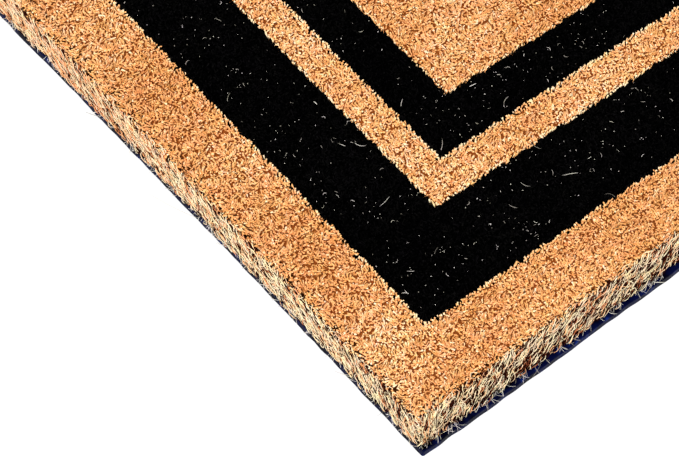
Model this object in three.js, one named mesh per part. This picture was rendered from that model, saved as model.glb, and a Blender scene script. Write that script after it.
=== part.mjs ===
// Coir door mat with a vinyl backing, in millimetres, +Z up, centred on the floor.
//
// The mat is a flat vinyl sheet with a dense bed of upright coir tufts fused into it. The tufts are
// planted in fields of one colour: a natural border, a wide black band, a natural stripe, a narrow
// black band and a natural centre. Each of the four frames is made of four mitred strips of tufts.

import * as THREE from 'three';

// Overall size of the mat, a common doorstep size of 30 by 18 inches.
const LENGTH = 762;
const WIDTH = 457;
const THICKNESS = 17;

// The vinyl sheet that everything stands on.
const BACKING_THICKNESS = 2.5;
const BACKING_CORNER_RADIUS = 2;
const BACKING_CORNER_SEGMENTS = 6;

// The tufts stop a little short of the sheet's edge, and their outer top edge is worn round.
const PILE_INSET = 1;
const PILE_EDGE_RADIUS = 2;
const PILE_EDGE_SEGMENTS = 4;

// Clearance between one field of tufts and the next.
const GAP = 0.3;

// Widths of the frames, counted inwards from the edge of a centred sheet. The frames were laid out
// a little off centre, towards the left edge and away from the front edge.
const BORDER_WIDTH = 23;
const OUTER_BAND_WIDTH = 28;
const STRIPE_WIDTH = 12.5;
const INNER_BAND_WIDTH = 16.5;
const FRAMES_SHIFT_X = -1.5;
const FRAMES_SHIFT_Y = 1.5;

const naturalCoir = new THREE.MeshStandardMaterial({
  name: 'natural_coir', color: 0xc8935a, roughness: 0.95, metalness: 0,
});
const blackCoir = new THREE.MeshStandardMaterial({
  name: 'black_coir', color: 0x0b0b0c, roughness: 0.9, metalness: 0,
});
const vinyl = new THREE.MeshStandardMaterial({
  name: 'vinyl_backing', color: 0x141a36, roughness: 0.45, metalness: 0,
});

// The four sides of a frame, run counterclockwise seen from above, from one corner to the next. A
// corner is named by the two edges that meet there.
const SIDES = [
  { name: 'front', start: ['left', 'front'], end: ['right', 'front'] },
  { name: 'right', start: ['right', 'front'], end: ['right', 'back'] },
  { name: 'back', start: ['right', 'back'], end: ['left', 'back'] },
  { name: 'left', start: ['left', 'back'], end: ['left', 'front'] },
];

// The frames from the edge inwards. Only the first one has an open outer edge.
const FRAMES = [
  { name: 'natural_border', width: BORDER_WIDTH, material: naturalCoir, openEdge: true },
  { name: 'outer_black_band', width: OUTER_BAND_WIDTH, material: blackCoir, openEdge: false },
  { name: 'natural_stripe', width: STRIPE_WIDTH, material: naturalCoir, openEdge: false },
  { name: 'inner_black_band', width: INNER_BAND_WIDTH, material: blackCoir, openEdge: false },
];

function namedMesh(name, geometry, material) {
  const mesh = new THREE.Mesh(geometry, material);
  mesh.name = name;
  return mesh;
}

// A rectangle with round corners, centred on the origin.
function roundedRectangle(length, width, radius) {
  const x = length / 2;
  const y = width / 2;
  const shape = new THREE.Shape();
  shape.moveTo(-x + radius, -y);
  shape.lineTo(x - radius, -y);
  shape.absarc(x - radius, -y + radius, radius, -Math.PI / 2, 0, false);
  shape.lineTo(x, y - radius);
  shape.absarc(x - radius, y - radius, radius, 0, Math.PI / 2, false);
  shape.lineTo(-x + radius, y);
  shape.absarc(-x + radius, y - radius, radius, Math.PI / 2, Math.PI, false);
  shape.lineTo(-x, -y + radius);
  shape.absarc(-x + radius, -y + radius, radius, Math.PI, Math.PI * 1.5, false);
  return shape;
}

// The vinyl sheet lies on the floor.
function makeBacking() {
  const outline = roundedRectangle(LENGTH, WIDTH, BACKING_CORNER_RADIUS);
  const geometry = new THREE.ExtrudeGeometry(outline, {
    depth: BACKING_THICKNESS,
    bevelEnabled: false,
    curveSegments: BACKING_CORNER_SEGMENTS,
  });
  return namedMesh('vinyl_backing', geometry, vinyl);
}

// A rectangle on the floor, a given distance in from the sheet's edges and then shifted.
function rectangle(fromEdge, shiftX, shiftY) {
  return {
    left: -LENGTH / 2 + fromEdge + shiftX,
    right: LENGTH / 2 - fromEdge + shiftX,
    front: -WIDTH / 2 + fromEdge + shiftY,
    back: WIDTH / 2 - fromEdge + shiftY,
  };
}

function corner(outline, [xEdge, yEdge]) {
  return new THREE.Vector2(outline[xEdge], outline[yEdge]);
}

// Section across a strip: x is the distance in from its outer edge, y is the height of the tufts.
function stripSection(width, openEdge) {
  const height = THICKNESS - BACKING_THICKNESS - GAP;
  const section = new THREE.Shape();
  section.moveTo(width, 0);
  section.lineTo(width, height);
  if (openEdge) {
    const radius = PILE_EDGE_RADIUS;
    section.lineTo(radius, height);
    section.absarc(radius, height - radius, radius, Math.PI / 2, Math.PI, false);
  } else {
    section.lineTo(0, height);
  }
  section.lineTo(0, 0);
  section.closePath();
  return section;
}

// One strip of a frame, between an outer and an inner rectangle. The section is drawn out by one
// unit, then each end is moved onto the mitre line between the two rectangles' corners.
function makeStrip(frame, outer, inner, side) {
  const start = corner(outer, side.start);
  const end = corner(outer, side.end);
  const innerStart = corner(inner, side.start);
  const innerEnd = corner(inner, side.end);
  const along = end.clone().sub(start).normalize();
  const width = Math.abs(along.cross(innerStart.clone().sub(start)));
  const geometry = new THREE.ExtrudeGeometry(stripSection(width, frame.openEdge), {
    depth: 1,
    bevelEnabled: false,
    curveSegments: PILE_EDGE_SEGMENTS,
  });
  const clearance = along.clone().multiplyScalar(GAP * Math.SQRT1_2);
  const startPoint = new THREE.Vector2();
  const endPoint = new THREE.Vector2();
  const position = geometry.getAttribute('position');
  for (let i = 0; i < position.count; i += 1) {
    const share = position.getX(i) / width;
    const height = position.getY(i);
    startPoint.lerpVectors(start, innerStart, share).add(clearance);
    endPoint.lerpVectors(end, innerEnd, share).sub(clearance);
    const point = position.getZ(i) > 0.5 ? endPoint : startPoint;
    position.setXYZ(i, point.x, point.y, height);
  }
  geometry.computeVertexNormals();
  return namedMesh(`${frame.name}_${side.name}`, geometry, frame.material);
}

// The field of tufts inside the frames.
function makeCentre(outline) {
  const height = THICKNESS - BACKING_THICKNESS - GAP;
  const length = outline.right - outline.left;
  const width = outline.back - outline.front;
  const geometry = new THREE.BoxGeometry(length, width, height);
  geometry.translate(outline.left + length / 2, outline.front + width / 2, height / 2);
  return namedMesh('natural_centre', geometry, naturalCoir);
}

// All the tufts, standing just clear of the sheet. The pile's own outer edge is centred.
function makePile() {
  const pile = new THREE.Group();
  pile.position.z = BACKING_THICKNESS + GAP;
  let edge = 0;
  for (const frame of FRAMES) {
    const outer = frame.openEdge
      ? rectangle(PILE_INSET, 0, 0)
      : rectangle(edge + GAP / 2, FRAMES_SHIFT_X, FRAMES_SHIFT_Y);
    edge += frame.width;
    const inner = rectangle(edge - GAP / 2, FRAMES_SHIFT_X, FRAMES_SHIFT_Y);
    for (const side of SIDES) {
      pile.add(makeStrip(frame, outer, inner, side));
    }
  }
  pile.add(makeCentre(rectangle(edge + GAP / 2, FRAMES_SHIFT_X, FRAMES_SHIFT_Y)));
  return pile;
}

const doorMat = new THREE.Group();
doorMat.add(makeBacking());
doorMat.add(makePile());

export default doorMat;
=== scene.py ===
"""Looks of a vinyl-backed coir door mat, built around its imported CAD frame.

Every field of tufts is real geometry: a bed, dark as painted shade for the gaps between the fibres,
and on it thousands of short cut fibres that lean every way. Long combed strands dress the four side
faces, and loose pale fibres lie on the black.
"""

import math

import bpy
import numpy as np
from mathutils import Matrix, Vector


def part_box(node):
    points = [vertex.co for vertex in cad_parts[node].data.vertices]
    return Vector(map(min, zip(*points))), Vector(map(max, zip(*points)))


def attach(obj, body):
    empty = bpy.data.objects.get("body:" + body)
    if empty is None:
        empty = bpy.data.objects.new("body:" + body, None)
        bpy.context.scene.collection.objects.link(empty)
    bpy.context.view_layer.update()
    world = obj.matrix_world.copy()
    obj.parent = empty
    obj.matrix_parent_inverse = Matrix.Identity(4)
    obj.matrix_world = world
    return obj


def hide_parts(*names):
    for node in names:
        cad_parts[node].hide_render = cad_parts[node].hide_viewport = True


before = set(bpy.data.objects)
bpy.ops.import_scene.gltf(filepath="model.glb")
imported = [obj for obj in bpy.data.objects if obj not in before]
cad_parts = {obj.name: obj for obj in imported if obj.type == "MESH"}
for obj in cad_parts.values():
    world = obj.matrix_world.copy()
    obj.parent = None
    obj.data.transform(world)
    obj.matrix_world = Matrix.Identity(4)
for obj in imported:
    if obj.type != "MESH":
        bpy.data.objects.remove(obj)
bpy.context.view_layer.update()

MM = 0.001
SEED = 20

# Places taken from the frame.
BACKING_LOW, BACKING_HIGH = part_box("vinyl_backing")
PILE_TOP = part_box("natural_centre")[1].z
PILE_FOOT = BACKING_HIGH.z
HALF_LENGTH, HALF_WIDTH = BACKING_HIGH.x, BACKING_HIGH.y
NEAR_CORNER = np.array([BACKING_LOW.x, BACKING_LOW.y])

SIDES = ("front", "right", "back", "left")
FRAMES = ("natural_border", "outer_black_band", "natural_stripe", "inner_black_band")
FIELDS = (*FRAMES, "natural_centre")

# The camera stands off the near corner: place and aim are measured from that corner of the floor.
CAMERA_PLACE = Vector((-299.7, -253.2, 664.9)) * MM
CAMERA_AIM = Vector((22.7, 63.4, 17.0)) * MM
CAMERA_ROLL = math.radians(7.19)
CAMERA_LENS = 148.5

# Fibres are dense and thin up to the first of these distances from the near corner, and sparse and
# thick from the second one on.
NEAR_REACH, FAR_REACH = 0.18, 0.30
# Far off, strands and hairs are this many times as thick as by the near corner.
FAR_THICKNESS = 1.7

# By the near corner the mat is cut a little askew to its print. Its left edge lies this far in at
# the corner and bows outwards with the square of the distance, and its front edge lies this far out
# and slants back in. Each comes back to its straight line over a stretch away from the corner. The
# shift fades out over a depth from the edge, so the print itself stays put.
LEFT_IN, LEFT_BOW, LEFT_STRETCH = 0.5 * MM, 0.062, (0.20, 0.40)
FRONT_OUT, FRONT_SLANT, FRONT_STRETCH = 1.2 * MM, 0.0185, (0.11, 0.30)
ASKEW_DEPTH = 20 * MM
# How far in the top of the pile's left and front faces leans from the foot.
LEFT_LEAN, FRONT_LEAN = -1.05 * MM, 2.4 * MM

# How far the pile's foot stands in from the sheet's edge: the pile sits a little askew on it.
PILE_INSET = {"front": 1.4 * MM, "right": 1.1 * MM, "back": 0.5 * MM, "left": 0.0 * MM}

# The cut pile.
# Fibres per square millimetre and their radius, close to the near corner and far from it.
NEAR_DENSITY, FAR_DENSITY = 2.3, 1.3
NEAR_RADIUS, FAR_RADIUS = 0.29 * MM, 0.36 * MM
# How far a tip may stand from its even place, across the whole spread.
TIP_SPREAD = 0.8 * MM
# The length of a fibre in millimetres, and its lean from upright in degrees: a gamma distribution's
# shape and scale, and the limits.
FIBRE_LENGTH = (2.6, 3.8)
LEAN_SHAPE, LEAN_SCALE, LEAN_LIMITS = 6.0, 8.5, (10, 80)
# Neighbours lean alike over this distance, apart from a random share.
FLOW_SCALE, RANDOM_LEAN = 6 * MM, 0.9
# This near a change of colour, fibres lean only this share as far, and only this share of their
# lean across the line is kept, always over it. This near the edge, they lean outwards.
LINE_ZONE, LINE_LEAN, LINE_CROSSING = 1.8 * MM, 0.75, 0.18
EDGE_ZONE = 2.5 * MM
# A change of colour is ragged: heights in millimetres, lengths and seeds of its waves.
LINE_TEETH = ((0.12, 2.6 * MM, 1), (0.16, 9 * MM, 2))
# Tips lie this far under the top, clumps rise above that, and each tip drops by chance, in
# millimetres. The pile's upper edge is worn round over a distance, by these millimetres.
TIP_DROP, CLUMP_RISE, CHANCE_DROP = 0.10 * MM, 0.12 * MM, 0.25
DROOP_REACH, DROOP = 1.3 * MM, (0.1, 0.7)
# The size of clumps, and of the patches where shades differ.
CLUMP_SCALE, PATCH_SCALE = 5 * MM, 40 * MM
# The middle shade of the pile, and how far it varies by chance, by clumps and by patches.
PILE_SHADE, SHADE_SPREAD, CLUMP_SHADE, PATCH_SHADE = 0.40, 0.12, 0.035, 0.05
# What is added to it this near a change of colour, a painted highlight along the line, and on the
# narrow stripe, painted light that makes up for the bounce its black neighbours take away.
LINE_WIDTH, LINE_PAINTED_HIGHLIGHT, STRIPE_PAINTED_LIGHT = 0.7 * MM, 0.14, 0.07

# The dark bed under the fibres, its darkness painted shade for the deep gaps between them: its top
# lies this deep under the tips, and a black bed laps this far under the fields beside it. The
# outermost bed stops this far short of the left, front, right and back edges. A bed's faces all
# take the same small square of the texture.
BED_DEPTH, BED_PAINTED_SHADE = 1.7 * MM, 0.10
BED_LAP = 1.3 * MM
BED_MARGIN = np.array([2.2, 4.6, 2.2, 2.2]) * MM
BED_CELL = 0.004
# The centre is made in so many columns and rows of pieces.
CENTRE_TILES = (4, 3)

# The side faces.
# The angle from upright, in degrees, at which the long strands of each side face are combed over.
COMBED = {"front": 52, "right": 40, "back": 45, "left": -54}
# Strands per millimetre of side by the near corner, the share of them far from it, and their radius.
STRAND_RATE = {"front": 15, "right": 14, "back": 14, "left": 16}
FAR_STRANDS = 0.55
STRAND_RADIUS = {"front": 0.122 * MM, "right": 0.13 * MM, "back": 0.13 * MM, "left": 0.125 * MM}
# The share of pale strands half way up each side face, how much it grows from foot to top, and the
# shades of the pale and of the dark ones. The dark shade is partly the strands' own maroon, partly
# painted shade for the gaps between strands. The front face's smaller pale share is partly painted
# shade, for the face that the key light reaches less.
PALE_SHARE = {"front": 0.56, "right": 0.6, "back": 0.6, "left": 0.73}
PALE_RISE = {"front": 0.35, "right": 0.3, "back": 0.3, "left": -0.1}
PALE_SHADE = {"front": 0.91, "right": 0.86, "back": 0.86, "left": 0.90}
DARK_STRAND_AND_GAP_SHADE = {"front": 0.0, "right": 0.12, "back": 0.12, "left": 0.0}
# Of the other strands this share is dark, and the rest is of this shade.
DARK_SHARE, MIDDLE_SHADE = 0.8, 0.38
# How far each of these shades varies.
PALE_SPREAD, MIDDLE_SPREAD, DARK_SPREAD = 0.15, 0.08, 0.06
# Away from the near corner, over this stretch, the left face turns from cream to tan: it gains this
# share of pale strands, and those are so much darker.
TAN_STRETCH, TAN_SHARE, TAN_SHADE = (0.06, 0.14), 0.15, -0.13
# At its ends a face's strands are combed over by this share, and fully this far from the end.
END_COMBING, SETTLING = 0.35, 60 * MM
# Tufts are combed this many degrees more or less than their neighbours, over this distance.
TUFT_SWAY, TUFT_SCALE = 16, 7 * MM
# The share of strands that cross the others at the ends, and how much smaller it is between them.
CROSSING_SHARE, CROSSING_DROP = 0.26, 0.1
# How far, in degrees, the angles of crossing and of combed strands spread, and the greatest angle.
CROSSING_SPREAD, COMBED_SPREAD, GREATEST_ANGLE = 40, 14, 80
# Outer strands: their length and how far they stand out, in millimetres, the share of the face's
# height that one climbs at most, and the share of it that their even spread covers.
STRAND_LENGTH, STRAND_OUT = (1.5, 5.2), (-0.4, 0.7)
STRAND_CLIMB, STRAND_REACH = 0.9, 1.04
# Every strand has this many steps, with these shares of its radius, and a curl has twice as many.
# A strand bows and kinks by about these shares of its length, and its ends stand out by this share
# of its middle's distance.
STRAND_STEPS = 4
STRAND_TAPER = np.array([0.8, 1.0, 1.0, 0.7])
BOW, KINK, END_OUT = 0.17, 0.08, 0.3
# The share of pale strands varies in patches of this size, by this much.
SIDE_PATCH, SIDE_PATCH_SHARE = 5 * MM, 0.20
# Inner strands: how many for each millimetre of side, near and far, the spread of their lean in
# radians, and how much darker the deepest ones are: painted shade deep in the face.
INNER_RATES, INNER_LEAN, INNER_PAINTED_DEPTH_SHADE = (13, 5), 0.22, 0.10
# In millimetres, the shift of their feet, how far under the pile's top they stop, and their radius.
INNER_SHIFT, INNER_STOP, INNER_RADIUS = (-0.4, 0.3), (0.5, 2.0), (0.16, 0.24)
# In millimetres, how far behind the face their layers begin, and how much deeper they go on.
INNER_DEPTH, INNER_SPREAD = 0.3, 2.0
# Curls: how many for each millimetre of side, near and far, the angle in radians that they turn
# through, and the share of their radius by which they wind in.
CURL_RATES, CURL_SWEEP, CURL_WINDING = (0.7, 0.2), (2.2, 5.5), 0.35
# Their radius and how far they stand out, in millimetres, and their shade.
CURL_RADIUS, CURL_OUT, CURL_SHADE = (0.7, 2.2), (0.3, 1.0), 0.85
# The fan of strands at a corner: how many, their middle place and its spread in millimetres, their
# middle angle and its spread in degrees with its limits, and the share of pale ones.
CORNER_STRANDS, CORNER_PLACE, CORNER_ANGLE = 60, (0.6, 1.3), (14, 20)
CORNER_LIMITS, CORNER_PALE = (-40, 70), 0.75
# The pile's lower edge is scalloped, with bays of this width and height, shifted by longer waves.
BAY_WIDTH, BAY_HEIGHT, BAY_SHIFT = 9 * MM, 1.8 * MM, 60 * MM
# How far the foot of each face hangs over the sheet, and how far down any strand may bow.
FOOT_HANG = {"front": 0.3 * MM, "right": 0.3 * MM, "back": 0.3 * MM, "left": 0.4 * MM}
LOWEST = PILE_FOOT - 0.4 * MM
# Roundings of the pile: at its corners, seen from above, and along its upper edge.
CORNER_RADIUS = 1.3 * MM
TOP_RADIUS = 0.8 * MM

# Kinds of loose fibres: so many per square millimetre, their least and greatest lengths and their
# radius in millimetres. The first are specks and the others hairs.
LOOSE_KINDS = ((0.10, 0.1, 0.45, 0.080), (0.014, 0.5, 1.8, 0.070), (0.005, 1.5, 5, 0.060))
# They keep this far from a band's edges, crowd in spots of this size, and arch up this high.
LOOSE_MARGIN, LOOSE_CROWDING, LOOSE_ARCH = 0.8 * MM, 22 * MM, 0.35 * MM
# Their middle shade and its spread.
LOOSE_SHADE = (0.48, 0.32)
# Each black band, and the field inside it.
BLACK_BANDS = (("outer_black_band", "natural_stripe"), ("inner_black_band", "natural_centre"))
LOOSE_STEPS = 4
# Stray fibres: how many for each millimetre of side, near and far, and the size of their bunches.
STRAY_RATES, STRAY_BUNCH = (3.0, 0.5), 11 * MM
# Their radius in millimetres, and their middle shade and its spread.
STRAY_RADIUS, STRAY_SHADE = (0.04, 0.075), (0.60, 0.25)

# The vinyl sheet: the rounding of its corners and the steps in it, the width of its softened rim,
# and the distance between the points of its uneven edge.
SHEET_CORNER_RADIUS, SHEET_CORNER_STEPS = 0.9 * MM, 8
SHEET_RIM, SHEET_CUT = 0.3 * MM, 1.5 * MM
# How far its edge wavers, in millimetres, with the lengths and the seeds of those waves, and how
# far it stands in on the whole. Its flat sides are closed with rows this far in from the edge.
SHEET_WAVER, SHEET_INSET = ((0.10, 7 * MM, 10), (0.10, 30 * MM, 11)), 0.15
UNDERSIDE_ROW, UPPER_ROW = 3.0 * MM, 4.0 * MM

# The floor lies just under the mat, and glows a little so that it is nearly white.
FLOOR_HALF, FLOOR_DROP, FLOOR_GLOW = 4.0, 0.0002, 0.62
# A white sky and one soft key light from the left of the near corner.
SKY_STRENGTH = 0.75
KEY_PLACE, KEY_SIZE, KEY_POWER = (-1.7, -0.9, 2.3), 1.2, 80

# Fibres have this many corners round them.
AROUND = 3
# In its cell of the texture a fibre's corners stand in these columns, clear of its foot and top by
# this share of the cell.
CELL_COLUMNS, CELL_MARGIN = (0.2, 0.5, 0.8), 0.15


# ---------------------------------------------------------------- meshes from arrays


def smooth_step(low, high, value):
    share = np.clip((value - low) / (high - low), 0, 1)
    return share * share * (3 - 2 * share)


def unit(vectors):
    return vectors / np.maximum(np.linalg.norm(vectors, axis=-1, keepdims=True), 1e-12)


def fibre_arrays(spine, radius, shade, rng):
    """A part of closed three-sided fibres: vertices, triangles, quads, heights, tints and uvs.

    spine is (fibres, points, 3), from the root, where a fibre comes to a point, to its cut tip, and
    radius is (fibres, points - 1), one for each point after the root.
    """
    count, points = spine.shape[:2]
    rings = points - 1
    along = unit(np.gradient(spine, axis=1))[:, 1:]
    reference = unit(rng.normal(size=(count, 1, 3)))
    across = unit(reference - (reference * along).sum(-1, keepdims=True) * along)
    over = np.cross(along, across)
    turn = np.arange(AROUND) * 2 * math.pi / AROUND
    cosine, sine = np.cos(turn)[:, None], np.sin(turn)[:, None]
    spokes = across[:, :, None] * cosine + over[:, :, None] * sine
    corners = spine[:, 1:, None] + radius[:, :, None, None] * spokes
    each = 1 + AROUND * rings
    vertices = np.empty((count, each, 3))
    vertices[:, 0] = spine[:, 0]
    vertices[:, 1:] = corners.reshape(count, -1, 3)
    fan = [[0, 1 + (k + 1) % AROUND, 1 + k] for k in range(AROUND)]
    cap = [each - AROUND + k for k in range(AROUND)]
    walls = []
    for below in range(1, each - AROUND, AROUND):
        above = below + AROUND
        for k in range(AROUND):
            after = (k + 1) % AROUND
            walls.append([below + k, below + after, above + after, above + k])
    first = np.arange(count)[:, None, None] * each
    triangles = (first + np.array([*fan, cap])).reshape(-1, 3)
    quads = (first + np.array(walls, int).reshape(-1, 4)).reshape(-1, 4)
    levels = np.concatenate([[0.0], np.repeat(np.arange(1, points) / rings, AROUND)])
    height = np.tile(levels, count)
    tint = np.repeat(shade, each)
    uvs = cell_uvs(count, rings, shade)
    return vertices.reshape(-1, 3), triangles, quads, height, tint, uvs


def cell_uvs(count, rings, shade):
    """One small cell of the texture for each fibre, in order of shade, so neighbours blend well."""
    side = max(1, math.ceil(math.sqrt(count)))
    rank = np.empty(count, int)
    rank[np.argsort(shade, kind="stable")] = np.arange(count)
    corner = np.stack([rank % side, rank // side], axis=1)
    levels = [CELL_MARGIN + (1 - 2 * CELL_MARGIN) * (j + 1) / rings for j in range(rings)]
    rows = [[column, level] for level in levels for column in CELL_COLUMNS]
    local = np.array([[0.5, CELL_MARGIN], *rows])
    return ((corner[:, None] + local[None]) / side).reshape(-1, 2)


def make_mesh(name, parts, material, flat=0):
    """One object from (vertices, triangles, quads, heights, tints, uvs) parts.

    Its last faces, as many as flat says, are shaded flat and the others smooth.
    """
    vertices, triangles, quads, heights, tints, uvs = zip(*parts)
    starts = np.cumsum([0, *(len(part) for part in vertices[:-1])])
    triangles = np.concatenate([part + start for part, start in zip(triangles, starts)])
    quads = np.concatenate([part + start for part, start in zip(quads, starts)])
    corners = np.concatenate([triangles.ravel(), quads.ravel()]).astype(np.int32)
    sizes = np.repeat([3, 4], [len(triangles), len(quads)])
    vertices = np.concatenate(vertices).astype(np.float32)
    mesh = bpy.data.meshes.new(name)
    mesh.vertices.add(len(vertices))
    mesh.vertices.foreach_set("co", vertices.ravel())
    mesh.loops.add(len(corners))
    mesh.loops.foreach_set("vertex_index", corners)
    mesh.polygons.add(len(sizes))
    mesh.polygons.foreach_set("loop_start", (np.cumsum(sizes) - sizes).astype(np.int32))
    mesh.polygons.foreach_set("use_smooth", np.arange(len(sizes)) < len(sizes) - flat)
    mesh.update(calc_edges=True)
    for label, values in (("height", heights), ("tint", tints)):
        layer = mesh.attributes.new(label, "FLOAT", "POINT")
        layer.data.foreach_set("value", np.concatenate(values).astype(np.float32))
    uvs = np.concatenate(uvs)[corners].astype(np.float32)
    mesh.uv_layers.new(name="OFBake").data.foreach_set("uv", uvs.ravel())
    mesh.materials.append(material)
    return add_object(name, mesh)


def add_object(name, data):
    made = bpy.data.objects.new(name, data)
    bpy.context.scene.collection.objects.link(made)
    return made


def show(piece, slot, *nodes):
    """Every piece rides on the one body and may stand for CAD nodes, which it hides; its slot is not
    used.
    """
    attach(piece, "root")
    if nodes:
        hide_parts(*nodes)


# ---------------------------------------------------------------- materials


# Scale, detail and roughness of noises, and the size of the vinyl's pebbles.
GRAIN = (900, 2, 0.5)
HUE_PATCHES = (330, 4, 0.7)
VINYL_CLOUDS = (260, 5, 0.5)
PEBBLE_SCALE, PEBBLE_DEPTH, PEBBLE_STRENGTH = 900, 0.15 * MM, 0.25

HUE_STOPS = [
    (0.35, (1.00, 0.92, 1.00)),
    (0.50, (1.00, 0.97, 0.94)),
    (0.65, (0.95, 0.95, 0.80)),
]
SIDE_HUE_STOPS = [
    (0.35, (1.00, 0.87, 0.92)),
    (0.50, (1.00, 0.93, 0.88)),
    (0.65, (1.00, 0.91, 0.74)),
]
NATURAL_STOPS = [
    (0.00, (0.060, 0.010, 0.003)),
    (0.22, (0.29, 0.076, 0.009)),
    (0.50, (0.72, 0.31, 0.097)),
    (0.78, (0.96, 0.53, 0.22)),
    (1.00, (1.00, 0.85, 0.56)),
]
SIDE_STOPS = [
    (0.00, (0.005, 0.0008, 0.0004)),
    (0.25, (0.070, 0.014, 0.006)),
    (0.50, (0.54, 0.17, 0.070)),
    (0.72, (1.00, 0.48, 0.21)),
    (1.00, (1.00, 0.92, 0.64)),
]
BLACK_STOPS = [
    (0.00, (0.0002, 0.0002, 0.0002)),
    (0.60, (0.0006, 0.0006, 0.0007)),
    (1.00, (0.0040, 0.0038, 0.0040)),
]
PALE_STOPS = [
    (0.00, (0.06, 0.055, 0.05)),
    (0.50, (0.45, 0.42, 0.37)),
    (1.00, (0.95, 0.93, 0.88)),
]
# The lightest blue stop is partly the vinyl's own mottle, partly painted reflection of streaks of
# sheen.
VINYL_STOPS = [
    (0.38, (0.0004, 0.0005, 0.004)),
    (0.60, (0.0012, 0.0030, 0.030)),
    (0.80, (0.008, 0.027, 0.180)),
]

# The colours and hues of each kind of coir, the shares of a fibre's height and of the grain in its
# shade, and its roughness and specular level. The height's share lightens a fibre towards its tip:
# partly its own paler cut end, partly painted shade towards its root.
COIR = {
    "natural_coir": (NATURAL_STOPS, HUE_STOPS, 0.22, 0.16, 0.8, 0.1),
    "black_coir": (BLACK_STOPS, HUE_STOPS, 0.22, 0.2, 0.9, 0.0),
    "pale_coir": (PALE_STOPS, HUE_STOPS, 0.22, 0.1, 0.7, 0.2),
    "side_coir": (SIDE_STOPS, SIDE_HUE_STOPS, 0.06, 0.12, 0.8, 0.02),
}


def node_material(name):
    material = bpy.data.materials.new(name)
    material.use_nodes = True
    nodes, links = material.node_tree.nodes, material.node_tree.links
    return material, nodes, links, nodes["Principled BSDF"]


def colour_ramp(nodes, stops):
    ramp = nodes.new("ShaderNodeValToRGB")
    while len(ramp.color_ramp.elements) < len(stops):
        ramp.color_ramp.elements.new(0.5)
    for element, (place, colour) in zip(ramp.color_ramp.elements, stops):
        element.position = place
        element.color = (*colour, 1)
    return ramp


def noise(nodes, links, scale, detail, roughness):
    """A noise texture that is fixed to the piece, its scale in waves to the metre."""
    place = nodes.new("ShaderNodeTexCoord")
    texture = nodes.new("ShaderNodeTexNoise")
    texture.inputs["Scale"].default_value = scale
    texture.inputs["Detail"].default_value = detail
    texture.inputs["Roughness"].default_value = roughness
    links.new(place.outputs["Object"], texture.inputs["Vector"])
    return texture.outputs["Fac"]


def attribute(nodes, name):
    read = nodes.new("ShaderNodeAttribute")
    read.attribute_name = name
    return read.outputs["Fac"]


def add_share(nodes, links, total, value, share):
    """The total with a share of the value added."""
    added = nodes.new("ShaderNodeMath")
    added.operation = "MULTIPLY_ADD"
    added.inputs[1].default_value = share
    links.new(value, added.inputs[0])
    links.new(total, added.inputs[2])
    return added.outputs[0]


def coir_material(name):
    """Fibre colour: its own tint, lighter to its tip (partly its paler cut end, partly painted shade
    at its root), broken by fine noise, in patches of hue.
    """
    stops, hue_stops, pale_tip_and_root_shade_share, grain_share, roughness, specular = COIR[name]
    material, nodes, links, shader = node_material(name)
    # Partly painted shade: fibres are darker towards the root, as well as paler at the cut tip.
    tipped_and_root_shaded = add_share(nodes, links, attribute(nodes, "tint"), attribute(nodes, "height"), pale_tip_and_root_shade_share)
    mottled = add_share(nodes, links, tipped_and_root_shaded, noise(nodes, links, *GRAIN), grain_share)
    ramp = colour_ramp(nodes, stops)
    links.new(mottled, ramp.inputs["Fac"])
    hues = colour_ramp(nodes, hue_stops)
    links.new(noise(nodes, links, *HUE_PATCHES), hues.inputs["Fac"])
    hued = nodes.new("ShaderNodeMix")
    hued.data_type = "RGBA"
    hued.blend_type = "MULTIPLY"
    hued.inputs["Factor"].default_value = 1
    links.new(ramp.outputs["Color"], hued.inputs["A"])
    links.new(hues.outputs["Color"], hued.inputs["B"])
    links.new(hued.outputs["Result"], shader.inputs["Base Color"])
    shader.inputs["Roughness"].default_value = roughness
    shader.inputs["Specular IOR Level"].default_value = specular
    return material


def vinyl_material():
    """Soft navy vinyl in faint clouds, their lightest blue partly its own mottle and partly painted
    reflection, with a fine pebbled skin.
    """
    material, nodes, links, shader = node_material("vinyl")
    ramp = colour_ramp(nodes, VINYL_STOPS)
    links.new(noise(nodes, links, *VINYL_CLOUDS), ramp.inputs["Fac"])
    links.new(ramp.outputs["Color"], shader.inputs["Base Color"])
    shader.inputs["Roughness"].default_value = 0.4
    shader.inputs["Specular IOR Level"].default_value = 0.02
    place = nodes.new("ShaderNodeTexCoord")
    pebble = nodes.new("ShaderNodeTexVoronoi")
    pebble.inputs["Scale"].default_value = PEBBLE_SCALE
    links.new(place.outputs["Object"], pebble.inputs["Vector"])
    bump = nodes.new("ShaderNodeBump")
    bump.inputs["Strength"].default_value = PEBBLE_STRENGTH
    bump.inputs["Distance"].default_value = PEBBLE_DEPTH
    links.new(pebble.outputs["Distance"], bump.inputs["Height"])
    links.new(bump.outputs["Normal"], shader.inputs["Normal"])
    return material


# ---------------------------------------------------------------- where fibres stand


# The way inwards from each side, in the order of SIDES.
INWARD = np.array([[0.0, 1.0], [-1.0, 0.0], [0.0, -1.0], [1.0, 0.0]])


def side_map(side):
    """Turns (distance along a side, distance in from its edge) into places on the floor."""
    x, y = HALF_LENGTH, HALF_WIDTH
    return {
        "front": lambda s, o: np.stack([s, -y + o], axis=-1),
        "right": lambda s, o: np.stack([x - o, s], axis=-1),
        "back": lambda s, o: np.stack([-s, y - o], axis=-1),
        "left": lambda s, o: np.stack([-x + o, -s], axis=-1),
    }[side]


def half_side(side):
    return HALF_LENGTH if side in ("front", "back") else HALF_WIDTH


def outline(name):
    """Left, front, right and back edges of a frame or of the centre field."""
    boxes = [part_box(node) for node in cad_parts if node.startswith(name)]
    low = [min(box[0][i] for box in boxes) for i in (0, 1)]
    high = [max(box[1][i] for box in boxes) for i in (0, 1)]
    return np.array([*low, *high])


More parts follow.
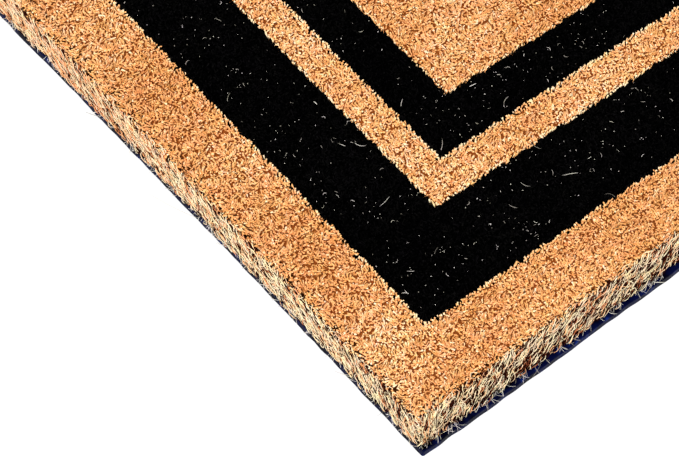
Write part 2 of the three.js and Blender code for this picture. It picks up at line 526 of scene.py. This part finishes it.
def inside_distances(places, edges):
    """Distance in from each edge of an outline, in the order of SIDES."""
    left, front, right, back = edges
    x, y = places[:, 0], places[:, 1]
    return np.stack([y - front, right - x, back - y, x - left], axis=1)


def crowding(places):
    """1 close to the near corner, 0 far from it."""
    gone = np.linalg.norm(places - NEAR_CORNER, axis=-1)
    return 1 - smooth_step(NEAR_REACH, FAR_REACH, gone)


def thickening(near):
    """How many times as thick a strand is as by the near corner."""
    return FAR_THICKNESS - (FAR_THICKNESS - 1) * near


def askew(points):
    """The same points, moved with the mat's edges where those are cut askew or lean."""
    across, along = points[..., 0] - NEAR_CORNER[0], points[..., 1] - NEAR_CORNER[1]
    height = np.clip((points[..., 2] - PILE_FOOT) / (PILE_TOP - PILE_FOOT), 0, 1)
    left = (LEFT_IN - LEFT_BOW * along**2) * (1 - smooth_step(*LEFT_STRETCH, along))
    front = (FRONT_SLANT * across - FRONT_OUT) * (1 - smooth_step(*FRONT_STRETCH, across))
    left = left + LEFT_LEAN * height
    front = front + FRONT_LEAN * height
    moved = points.copy()
    moved[..., 0] += left * (1 - smooth_step(0, ASKEW_DEPTH, across))
    moved[..., 1] += front * (1 - smooth_step(0, ASKEW_DEPTH, along))
    return moved


def waves(places, scale, seed, count=9):
    """Smooth random waves, from about -1 to 1, the same for the same seed."""
    rng = np.random.default_rng(seed)
    total = np.zeros(len(places))
    for _ in range(count):
        way = unit(rng.normal(size=places.shape[1]))
        wave = way * 2 * math.pi / (scale * rng.uniform(0.7, 1.5))
        total += np.sin(places @ wave + rng.uniform(0, 2 * math.pi))
    return total / math.sqrt(count)


def evenly_spread(count):
    """So many points spread evenly over the unit square, and evenly too if the last ones go."""
    plastic = 1.32471795724474602596
    order = np.arange(count)
    return np.stack([(0.5 + order / plastic) % 1, (0.5 + order / plastic**2) % 1], axis=1)


def thinned(count, far_share, near):
    """Which of so many evenly spread points stay: all near the corner, a share of them far off."""
    return np.arange(count) / count < far_share + (1 - far_share) * near


# ---------------------------------------------------------------- the cut pile


def pile_outline():
    """Left, front, right and back edges of the whole pile."""
    return np.array([
        -HALF_LENGTH + PILE_INSET["left"],
        -HALF_WIDTH + PILE_INSET["front"],
        HALF_LENGTH - PILE_INSET["right"],
        HALF_WIDTH - PILE_INSET["back"],
    ])


def pile_points(rng):
    """Evenly spread places of fibre tips over the whole pile, denser by the near corner."""
    low, high = pile_outline()[:2], pile_outline()[2:]
    size = high - low
    count = int(size[0] * size[1] * NEAR_DENSITY / MM**2)
    places = evenly_spread(count) * size + low
    places = places[thinned(count, FAR_DENSITY / NEAR_DENSITY, crowding(places))]
    return places + (rng.random(places.shape) - 0.5) * TIP_SPREAD


def colour_fields(places):
    """Which field each place is in, counted from outside, and the side of the mat it is on.

    Also how far inside the nearest change of colour it is, and the way inwards there. The changes
    are a little ragged.
    """
    teeth = sum(height * waves(places, scale, seed) for height, scale, seed in LINE_TEETH)
    rings = np.zeros(len(places), int)
    sides = inside_distances(places, pile_outline()).argmin(1)
    to_line = np.full(len(places), 1.0)
    line_way = np.zeros((len(places), 2))
    for name in FIELDS[1:]:
        distances = inside_distances(places, outline(name))
        side = distances.argmin(1)
        depth = distances.min(1) + teeth * MM
        rings += depth > 0
        sides = np.where(depth > 0, side, sides)
        closer = np.abs(depth) < np.abs(to_line)
        to_line = np.where(closer, depth, to_line)
        line_way = np.where(closer[:, None], INWARD[side], line_way)
    return rings, sides, to_line, line_way


def leaning(places, to_line, line_way, from_edge, edge_way, rng):
    """Directions of the fibres, from root to tip."""
    count = len(places)
    lean = np.radians(np.clip(rng.gamma(LEAN_SHAPE, LEAN_SCALE, count), *LEAN_LIMITS))
    flow = [waves(places, FLOW_SCALE, seed=5), waves(places, FLOW_SCALE, seed=6)]
    way = unit(np.stack(flow, axis=1) + RANDOM_LEAN * unit(rng.normal(size=(count, 2))))
    # Next to a change of colour, and at the outer edge, tips lean over the line and never under it.
    across = (way * line_way).sum(1)
    wanted = -LINE_CROSSING * np.sign(to_line) * np.abs(across)
    at_line = np.abs(to_line) < LINE_ZONE
    lean = np.where(at_line, LINE_LEAN * lean, lean)
    way = way + np.where(at_line, wanted - across, 0)[:, None] * line_way
    out = (way * edge_way).sum(1)
    way = way + np.where(from_edge < EDGE_ZONE, np.abs(out) - out, 0)[:, None] * edge_way
    return np.column_stack([way * np.sin(lean)[:, None], np.cos(lean)])


def pile_fibres(rng):
    """Spines, radii, shades, field numbers and sides of all the short fibres of the top."""
    places = pile_points(rng)
    count = len(places)
    near = crowding(places)
    rings, sides, to_line, line_way = colour_fields(places)
    edge_distances = inside_distances(places, pile_outline())
    from_edge = edge_distances.min(1)
    edge_way = -INWARD[edge_distances.argmin(1)]
    direction = leaning(places, to_line, line_way, from_edge, edge_way, rng)

    clump = waves(places, CLUMP_SCALE, seed=3)
    patch = waves(places, PATCH_SCALE, seed=4)
    drop = np.abs(rng.normal(0, CHANCE_DROP, count)) * MM
    droop = np.clip(1 - from_edge / DROOP_REACH, 0, 1)
    top = PILE_TOP - TIP_DROP + CLUMP_RISE * clump - drop
    top -= rng.uniform(*DROOP, count) * MM * droop**2
    length = rng.uniform(*FIBRE_LENGTH, count) * MM
    tip = np.column_stack([places, top])
    spine = np.stack([tip - direction * length[:, None], tip], axis=1)
    radius = (FAR_RADIUS + (NEAR_RADIUS - FAR_RADIUS) * near) * rng.uniform(0.7, 1.3, count)
    shade = PILE_SHADE + rng.normal(0, SHADE_SPREAD, count)
    shade += CLUMP_SHADE * clump + PATCH_SHADE * patch
    # Painted highlight: fibres next to a change of colour are made paler.
    shade += np.where(np.abs(to_line) < LINE_WIDTH, LINE_PAINTED_HIGHLIGHT, 0)
    # Painted light: the narrow stripe is made paler to make up for light its black neighbours take
    # away.
    shade += np.where(rings == FRAMES.index("natural_stripe"), STRIPE_PAINTED_LIGHT, 0)
    return askew(spine), radius[:, None], np.clip(shade, 0.02, 0.98), rings, sides


def bed_outline(ring):
    """Outer edges of a field's bed.

    The black beds lap under the natural fibres beside them, so no brown shows between black ones,
    and the outermost bed stops short of the side strands.
    """
    grow = -BED_MARGIN if ring == 0 else (BED_LAP if ring % 2 else -BED_LAP)
    return outline(FIELDS[ring]) + grow * np.array([-1, -1, 1, 1])


def bed(corners):
    """The bed under the fibres, dark as painted shade for the gaps between them: a closed block on
    four corners given counterclockwise.
    """
    low = np.column_stack([corners, np.full(4, PILE_FOOT)])
    high = np.column_stack([corners, np.full(4, PILE_TOP - BED_DEPTH)])
    walls = [[i, (i + 1) % 4, 4 + (i + 1) % 4, 4 + i] for i in range(4)]
    cell = np.array([[0.0, 0.0], [1.0, 0.0], [1.0, 1.0], [0.0, 1.0]]) * BED_CELL
    return (
        np.concatenate([low, high]),
        np.zeros((0, 3), int),
        np.array([*walls, [0, 3, 2, 1], [4, 5, 6, 7]]),
        np.zeros(8),
        # Painted shade: the bed's dark tint stands in for the shade deep between the fibres.
        np.full(8, BED_PAINTED_SHADE),
        np.tile(cell, (2, 1)),
    )


def strip_corners(ring, side):
    """Corners of a frame's strip of bed, counterclockwise, mitred at its ends."""
    outer, inner = bed_outline(ring), bed_outline(ring + 1)
    # The outline's edges that meet at the strip's first corner, and at its last one.
    left, front, right, back = range(4)
    ends = {
        "front": ([left, front], [right, front]),
        "right": ([right, front], [right, back]),
        "back": ([right, back], [left, back]),
        "left": ([left, back], [left, front]),
    }
    first, last = ends[side]
    return np.array([outer[first], outer[last], inner[last], inner[first]])


def make_frames(pile, natural, black, rng):
    """One piece for each strip of a frame."""
    spine, radius, shade, rings, sides = pile
    for ring, name in enumerate(FRAMES):
        slot, material = ("black_coir", black) if "black" in name else ("natural_coir", natural)
        for number, side in enumerate(SIDES):
            node = f"{name}_{side}"
            mine = (rings == ring) & (sides == number)
            fibres = fibre_arrays(spine[mine], radius[mine], shade[mine], rng)
            block = bed(strip_corners(ring, side))
            piece = make_mesh(f"{node}_tufts", [fibres, block], material, len(block[2]))
            show(piece, slot, node)


def make_centre(pile, natural, rng):
    """A grid of pieces for the centre."""
    spine, radius, shade, rings, _ = pile
    left, front, right, back = bed_outline(len(FRAMES))
    columns, rows = CENTRE_TILES
    width, depth = (right - left) / columns, (back - front) / rows
    tips = spine[:, -1]
    column = np.clip((tips[:, 0] - left) // width, 0, columns - 1)
    row = np.clip((tips[:, 1] - front) // depth, 0, rows - 1)
    for i in range(columns):
        for j in range(rows):
            mine = (rings == len(FRAMES)) & (column == i) & (row == j)
            fibres = fibre_arrays(spine[mine], radius[mine], shade[mine], rng)
            x, y = left + i * width, front + j * depth
            block = bed(np.array([[x, y], [x + width, y], [x + width, y + depth], [x, y + depth]]))
            name = f"natural_centre_tufts_{i + 1}_{j + 1}"
            piece = make_mesh(name, [fibres, block], natural, len(block[2]))
            show(piece, "natural_coir", "natural_centre")


# ---------------------------------------------------------------- the side faces


def spread_along(side, near_rate, far_rate, rng):
    """Random distances along a side, with so many for each millimetre near and far."""
    half = half_side(side)
    s = rng.uniform(-half, half, int(2 * half / MM * near_rate))
    near = crowding(side_map(side)(s, np.zeros(len(s))))
    keep = rng.random(len(s)) < (far_rate + (near_rate - far_rate) * near) / near_rate
    return s[keep], near[keep]


def bent(distance, radius):
    """The angle that a path has turned, and how far it runs on, so far past the start of a bend."""
    past = np.maximum(distance, 0)
    turn = np.minimum(past / radius, math.pi / 2)
    return turn, np.maximum(past - radius * math.pi / 2, 0)


def on_face(side, along, out, height):
    """Points on a side face: along it, out in front of the pile's edge and up from the floor.

    A path that runs past the face's end goes on round the pile's corner, and one that runs past its
    top lies down on the pile.
    """
    top = PILE_TOP - TOP_RADIUS
    turn, beyond = bent(height - top, TOP_RADIUS)
    inward = TOP_RADIUS - (TOP_RADIUS + out) * np.cos(turn) + beyond
    z = np.minimum(height, top) + (TOP_RADIUS + out) * np.sin(turn)

    number = SIDES.index(side)
    aside = (PILE_INSET[SIDES[(number + 1) % 4]], PILE_INSET[SIDES[number - 1]])
    bend = half_side(side) - np.where(along > 0, *aside) - CORNER_RADIUS
    turn, beyond = bent(np.abs(along) - bend, CORNER_RADIUS)
    level = np.minimum(np.abs(along), bend) + (CORNER_RADIUS - inward) * np.sin(turn)
    inward = CORNER_RADIUS - (CORNER_RADIUS - inward) * np.cos(turn) + beyond
    places = side_map(side)(np.sign(along) * level, inward + PILE_INSET[side])
    return askew(np.concatenate([places, z[..., None]], axis=-1))


def foot_height(side, s):
    """The height of the pile's scalloped lower edge at distances along a side."""
    bays = np.abs(np.sin(math.pi * s / BAY_WIDTH + 2 * waves(s[:, None], BAY_SHIFT, seed=7)))
    return PILE_FOOT + BAY_HEIGHT * (1 - bays) ** 1.5 - FOOT_HANG[side]


def bowed(side, s, foot, angle, length, out, rng):
    """Spines of wavy strands on a side face, each at an angle from upright."""
    t = np.linspace(0, 1, STRAND_STEPS + 1)
    count = len(s)
    bow = rng.normal(0, BOW, count) * length
    kink = rng.normal(0, KINK, count) * length
    aside = bow[:, None] * np.sin(math.pi * t) + kink[:, None] * np.sin(2 * math.pi * t)
    gone = length[:, None] * t
    sine, cosine = np.sin(angle)[:, None], np.cos(angle)[:, None]
    along = s[:, None] + sine * gone + cosine * aside
    up = np.maximum(foot[:, None] + cosine * gone - sine * aside, LOWEST)
    nearness = END_OUT + (1 - END_OUT) * np.sin(math.pi * t)
    return on_face(side, along, out[:, None] * nearness, up)


def inner_strands(side, rng):
    """The inner layers of a side face: dark upright strands that close it, their darkness, greater
    the deeper they stand, painted shade for the gaps between the outer strands.
    """
    s, near = spread_along(side, *INNER_RATES, rng)
    count = len(s)
    depth = rng.random(count)
    foot = foot_height(side, s) + rng.uniform(*INNER_SHIFT, count) * MM
    length = PILE_TOP - rng.uniform(*INNER_STOP, count) * MM - foot
    out = (-INNER_DEPTH - INNER_SPREAD * depth) * MM
    spine = bowed(side, s, foot, rng.normal(0, INNER_LEAN, count), length, out, rng)
    radius = rng.uniform(*INNER_RADIUS, count) * thickening(near) * MM
    # Painted shade: the inner strands are dark, and darker the deeper they stand.
    shade = DARK_STRAND_AND_GAP_SHADE[side] - INNER_PAINTED_DEPTH_SHADE * depth + rng.normal(0, DARK_SPREAD, count)
    shade = np.clip(shade, 0, 0.4)
    return spine, radius[:, None] * STRAND_TAPER, shade


def strand_shades(pale_share, side, rng):
    """Shades of strands: pale ones, so great a share of them, the others dark or between."""
    count = len(pale_share)
    between = rng.normal(MIDDLE_SHADE, MIDDLE_SPREAD, count)
    is_dark = rng.random(count) < DARK_SHARE
    # Partly painted shade: dark strands stand in for the gaps between the pale ones.
    dark = np.where(is_dark, rng.normal(DARK_STRAND_AND_GAP_SHADE[side], DARK_SPREAD, count), between)
    light = rng.normal(PALE_SHADE[side], PALE_SPREAD, count)
    return np.clip(np.where(rng.random(count) < pale_share, light, dark), 0, 1)


def strand_angles(side, s, rng):
    """Angles from upright of outer strands at distances along a side."""
    count = len(s)
    settled = smooth_step(0, SETTLING, half_side(side) - np.abs(s))
    combed = COMBED[side] * (END_COMBING + (1 - END_COMBING) * settled)
    combed = combed + TUFT_SWAY * waves(s[:, None], TUFT_SCALE, seed=8)
    crossing = rng.random(count) < CROSSING_SHARE - CROSSING_DROP * settled
    crossed = rng.normal(0, CROSSING_SPREAD, count)
    angle = np.where(crossing, crossed, combed + rng.normal(0, COMBED_SPREAD, count))
    return np.radians(np.clip(angle, -GREATEST_ANGLE, GREATEST_ANGLE))


def outer_strands(side, rng):
    """The outer layers: thin strands combed over along the side, with others that cross them."""
    half = half_side(side)
    even = evenly_spread(int(2 * half / MM * STRAND_RATE[side]))
    s = (2 * even[:, 0] - 1) * half
    near = crowding(side_map(side)(s, np.zeros(len(s))))
    keep = thinned(len(s), FAR_STRANDS, near)
    s, share, near = s[keep], STRAND_REACH * even[keep, 1], near[keep]
    count = len(s)
    angle = strand_angles(side, s, rng)
    length = rng.uniform(*STRAND_LENGTH, count) * MM
    bottom = foot_height(side, s)
    room = PILE_TOP - bottom
    rise = np.minimum(length * np.cos(angle), STRAND_CLIMB * room)
    length = rise / np.cos(angle)
    foot = bottom + share * (room - rise)
    out = rng.uniform(*STRAND_OUT, count) * MM
    spine = bowed(side, s - 0.5 * length * np.sin(angle), foot, angle, length, out, rng)
    radius = rng.uniform(0.8, 1.2, count) * STRAND_RADIUS[side] * thickening(near)
    patch = waves(np.column_stack([s, foot]), SIDE_PATCH, seed=14)
    level = (foot + 0.5 * rise - bottom) / room
    tanned = smooth_step(*TAN_STRETCH, half - s) if side == "left" else np.zeros(count)
    # The front face's smaller pale share is partly painted shade, where the key light reaches less.
    pale_share = PALE_SHARE[side] + PALE_RISE[side] * (level - 0.5) + SIDE_PATCH_SHARE * patch
    shade = strand_shades(pale_share + TAN_SHARE * tanned, side, rng)
    shade = np.where(shade > 0.5, shade + TAN_SHADE * tanned, shade)
    return spine, radius[:, None] * STRAND_TAPER, shade


def curls(side, rng):
    """Springy loops that stand out of a side face."""
    s, near = spread_along(side, *CURL_RATES, rng)
    count = len(s)
    steps = STRAND_STEPS * 2
    t = np.linspace(0, 1, steps + 1)
    start, sweep = rng.uniform(0, 2 * math.pi, count), rng.uniform(*CURL_SWEEP, count)
    turn = start[:, None] + (sweep * rng.choice([-1, 1], count))[:, None] * t
    size = rng.uniform(*CURL_RADIUS, count)[:, None] * (1 - CURL_WINDING * t) * MM
    middle = rng.uniform(PILE_FOOT + 2 * MM, PILE_TOP - 1 * MM, count)[:, None]
    out = rng.uniform(*CURL_OUT, count)[:, None] * np.ones_like(t) * MM
    spine = on_face(side, s[:, None] + size * np.cos(turn), out, middle + size * np.sin(turn))
    radius = rng.uniform(0.7, 1.0, count) * STRAND_RADIUS[side] * thickening(near)
    shade = np.clip(rng.normal(CURL_SHADE, 0.1, count), 0.4, 1)
    return spine, np.repeat(radius[:, None], steps, axis=1), shade


def corner_fan(side, rng):
    """A splayed bunch of strands that fans up the pile's corner at the start of a side."""
    count = CORNER_STRANDS
    s = -half_side(side) + PILE_INSET[side] + rng.normal(*CORNER_PLACE, count) * MM
    angle = np.radians(np.clip(rng.normal(*CORNER_ANGLE, count), *CORNER_LIMITS))
    foot = PILE_FOOT + rng.uniform(0, 6, count) * MM
    length = (PILE_TOP - foot + rng.uniform(-3, 1.5, count) * MM) / np.cos(angle)
    spine = bowed(side, s, foot, angle, length, rng.uniform(0.2, 1.0, count) * MM, rng)
    radius = rng.uniform(0.8, 1.2, count) * STRAND_RADIUS[side]
    shade = strand_shades(np.full(count, CORNER_PALE), side, rng)
    return spine, radius[:, None] * STRAND_TAPER, shade


def make_side_faces(material, rng):
    """Two pieces for each side face, so that neither grows too large."""
    layers = {"side_bed": (inner_strands, corner_fan, curls), "side_strands": (outer_strands,)}
    for side in SIDES:
        for name, makers in layers.items():
            parts = [fibre_arrays(*make(side, rng), rng) for make in makers]
            show(make_mesh(f"{name}_{side}", parts, material), "natural_coir")


# ---------------------------------------------------------------- loose fibres


def walked(middle, turn, length, curl, rise, rng):
    """Spines of short curled fibres that lie flat."""
    t = np.linspace(-0.5, 0.5, LOOSE_STEPS + 1)
    angle = turn[:, None] + 2 * curl[:, None] * t[None]
    step = np.stack([np.cos(angle), np.sin(angle)], -1) * (length[:, None] / LOOSE_STEPS)[..., None]
    walk = np.cumsum(step, axis=1)
    walk = walk - walk.mean(axis=1, keepdims=True) + middle[:, None]
    hump = LOOSE_ARCH * np.cos(t * math.pi)[None] * rng.random((len(turn), 1))
    return np.concatenate([walk, (rise[:, None] + hump)[..., None]], axis=-1)


def places_on_band(name, inner, rate, rng):
    """Random places on a black band, crowded in some spots and rare in others."""
    left, front, right, back = outline(name)
    count = int((right - left) * (back - front) * rate / MM**2)
    places = rng.random((count, 2)) * (right - left, back - front) + (left, front)
    on_band = inside_distances(places, outline(inner)).min(1) < -LOOSE_MARGIN
    on_band &= inside_distances(places, outline(name)).min(1) > LOOSE_MARGIN
    crowd = 0.5 + 0.5 * waves(places, LOOSE_CROWDING, seed=9)
    return places[on_band & (rng.random(count) < np.clip(crowd, 0.08, 1))]


def make_loose_fibres(pale, rng):
    """Specks and short pale hairs shed by the natural tufts, lying on the black bands."""
    parts = []
    for rate, shortest, longest, thick in LOOSE_KINDS:
        for name, inner in BLACK_BANDS:
            middle = places_on_band(name, inner, rate, rng)
            count = len(middle)
            spine = walked(
                middle,
                rng.uniform(0, 2 * math.pi, count),
                rng.uniform(shortest, longest, count) * MM,
                rng.normal(0, 0.8, count),
                PILE_TOP + rng.uniform(-0.3, 0.2, count) * MM,
                rng,
            )
            radius = thick * rng.uniform(0.6, 1.3, count) * (1.3 - 0.3 * crowding(middle)) * MM
            shade = np.clip(rng.normal(*LOOSE_SHADE, count), 0, 1)
            radii = np.repeat(radius[:, None], LOOSE_STEPS, axis=1)
            parts.append(fibre_arrays(spine, radii, shade, rng))
    show(make_mesh("loose_fibres", parts, pale), "natural_coir")


def make_strays(pale, rng):
    """Fine pale fibres that trail from the foot of the pile over the sheet's bare rim."""
    parts = []
    t = np.linspace(0, 1, STRAND_STEPS + 1)
    for side in SIDES:
        s, near = spread_along(side, *STRAY_RATES, rng)
        crowd = waves(s[:, None], STRAY_BUNCH, seed=12) + rng.normal(0, 0.5, len(s)) > 0
        s, near = s[crowd], near[crowd]
        count = len(s)
        reach = rng.gamma(2.0, 0.5, count) * MM
        drift = rng.normal(0, 1.0, count) * reach
        start = rng.uniform(0.3, 2.5, count) * MM
        along = s[:, None] + drift[:, None] * t**1.5
        out = reach[:, None] * t - 0.3 * MM
        height = PILE_FOOT + 0.1 * MM + start[:, None] * (1 - t) ** 2 - 0.1 * reach[:, None] * t**4
        height = np.maximum(height, BACKING_LOW.z + 0.1 * MM)
        radius = rng.uniform(*STRAY_RADIUS, count) * thickening(near) * MM
        shade = np.clip(rng.normal(*STRAY_SHADE, count), 0, 1)
        spine = on_face(side, along, out, height)
        parts.append(fibre_arrays(spine, radius[:, None] * STRAND_TAPER, shade, rng))
    show(make_mesh("stray_fibres", parts, pale), "natural_coir")


# ---------------------------------------------------------------- the vinyl sheet


def sheet_outline():
    """Points round the sheet, counterclockwise, and the ways out of it there."""
    loop, normal = [], []
    for cx, cy, start in ((1, -1, -90), (1, 1, 0), (-1, 1, 90), (-1, -1, 180)):
        middle = np.array([
            cx * (HALF_LENGTH - SHEET_CORNER_RADIUS),
            cy * (HALF_WIDTH - SHEET_CORNER_RADIUS),
        ])
        for k in range(SHEET_CORNER_STEPS + 1):
            angle = math.radians(start + 90 * k / SHEET_CORNER_STEPS)
            out = np.array([math.cos(angle), math.sin(angle)])
            loop.append(middle + SHEET_CORNER_RADIUS * out)
            normal.append(out)
    points, outs = [], []
    for i in range(len(loop)):
        a, b = loop[i], loop[(i + 1) % len(loop)]
        cuts = max(1, int(np.linalg.norm(b - a) / SHEET_CUT))
        for k in range(cuts):
            points.append(a + (b - a) * k / cuts)
            outs.append(unit(normal[i] + (normal[(i + 1) % len(loop)] - normal[i]) * k / cuts))
    return np.array(points), np.array(outs)


def make_backing():
    """The cut sheet: round corners, a softened rim and an edge that is never quite straight."""
    points, outs = sheet_outline()
    count = len(points)
    uneven = sum(far * waves(points, scale, seed) for far, scale, seed in SHEET_WAVER) - SHEET_INSET
    points = points + outs * np.minimum(uneven, 0)[:, None] * MM
    # Each row of the sheet's skin, from the middle of the underside to that of the upper side: how
    # far out from the edge it runs, and its height.
    thick = BACKING_HIGH.z
    levels = [
        (-UNDERSIDE_ROW, 0),
        (0, 0),
        (0, thick - SHEET_RIM),
        (-0.3 * SHEET_RIM, thick - 0.3 * SHEET_RIM),
        (-SHEET_RIM, thick),
        (-UPPER_ROW, thick),
    ]
    rows = [np.column_stack([points + outs * out, np.full(count, z)]) for out, z in levels]
    vertices = askew(np.concatenate(rows))
    faces = []
    for row in range(len(levels) - 1):
        for i in range(count):
            here, after = row * count + i, row * count + (i + 1) % count
            faces.append((here, after, after + count, here + count))
    faces.append(tuple(range(count - 1, -1, -1)))
    faces.append(tuple((len(levels) - 1) * count + i for i in range(count)))
    mesh = bpy.data.meshes.new("vinyl_sheet")
    mesh.from_pydata(vertices.tolist(), [], faces)
    mesh.materials.append(vinyl_material())
    sheet = add_object("vinyl_sheet", mesh)
    show(sheet, "vinyl_backing", "vinyl_backing")


# ---------------------------------------------------------------- the stage


def make_camera():
    corner = Vector((BACKING_LOW.x, BACKING_LOW.y, 0))
    place, aim = corner + CAMERA_PLACE, corner + CAMERA_AIM
    forward = (aim - place).normalized()
    level = forward.cross(Vector((0, 0, 1))).normalized()
    right = level * math.cos(CAMERA_ROLL) + level.cross(forward) * math.sin(CAMERA_ROLL)
    turned = Matrix((right, right.cross(forward), -forward)).transposed().to_4x4()
    camera = add_object("camera", bpy.data.cameras.new("camera"))
    camera.matrix_world = Matrix.Translation(place) @ turned
    camera.data.lens = CAMERA_LENS
    camera.data.clip_start = 0.01
    bpy.context.scene.camera = camera


def make_floor():
    half = FLOOR_HALF
    mesh = bpy.data.meshes.new("floor")
    corners = [(-half, -half, 0), (half, -half, 0), (half, half, 0), (-half, half, 0)]
    mesh.from_pydata(corners, [], [(0, 1, 2, 3)])
    floor = add_object("floor", mesh)
    floor.location.z = -FLOOR_DROP
    material, _, _, shader = node_material("floor")
    shader.inputs["Base Color"].default_value = (0.35, 0.35, 0.35, 1)
    shader.inputs["Roughness"].default_value = 0.9
    shader.inputs["Emission Color"].default_value = (1, 1, 1, 1)
    shader.inputs["Emission Strength"].default_value = FLOOR_GLOW
    mesh.materials.append(material)


def make_lights():
    world = bpy.data.worlds.new("studio")
    world.use_nodes = True
    sky = world.node_tree.nodes["Background"]
    sky.inputs["Color"].default_value = (1, 1, 1, 1)
    sky.inputs["Strength"].default_value = SKY_STRENGTH
    bpy.context.scene.world = world
    light = bpy.data.lights.new("key", "AREA")
    light.size = KEY_SIZE
    light.energy = KEY_POWER
    key = add_object("key", light)
    key.location = KEY_PLACE
    key.rotation_euler = (-Vector(KEY_PLACE)).to_track_quat("-Z", "Y").to_euler()


def main():
    make_camera()
    make_floor()
    make_lights()
    bpy.context.scene.view_settings.view_transform = "Standard"
    rng = np.random.default_rng(SEED)
    make_backing()
    natural = coir_material("natural_coir")
    pile = pile_fibres(rng)
    make_frames(pile, natural, coir_material("black_coir"), rng)
    make_centre(pile, natural, rng)
    make_side_faces(coir_material("side_coir"), rng)
    pale = coir_material("pale_coir")
    make_loose_fibres(pale, rng)
    make_strays(pale, rng)


main()
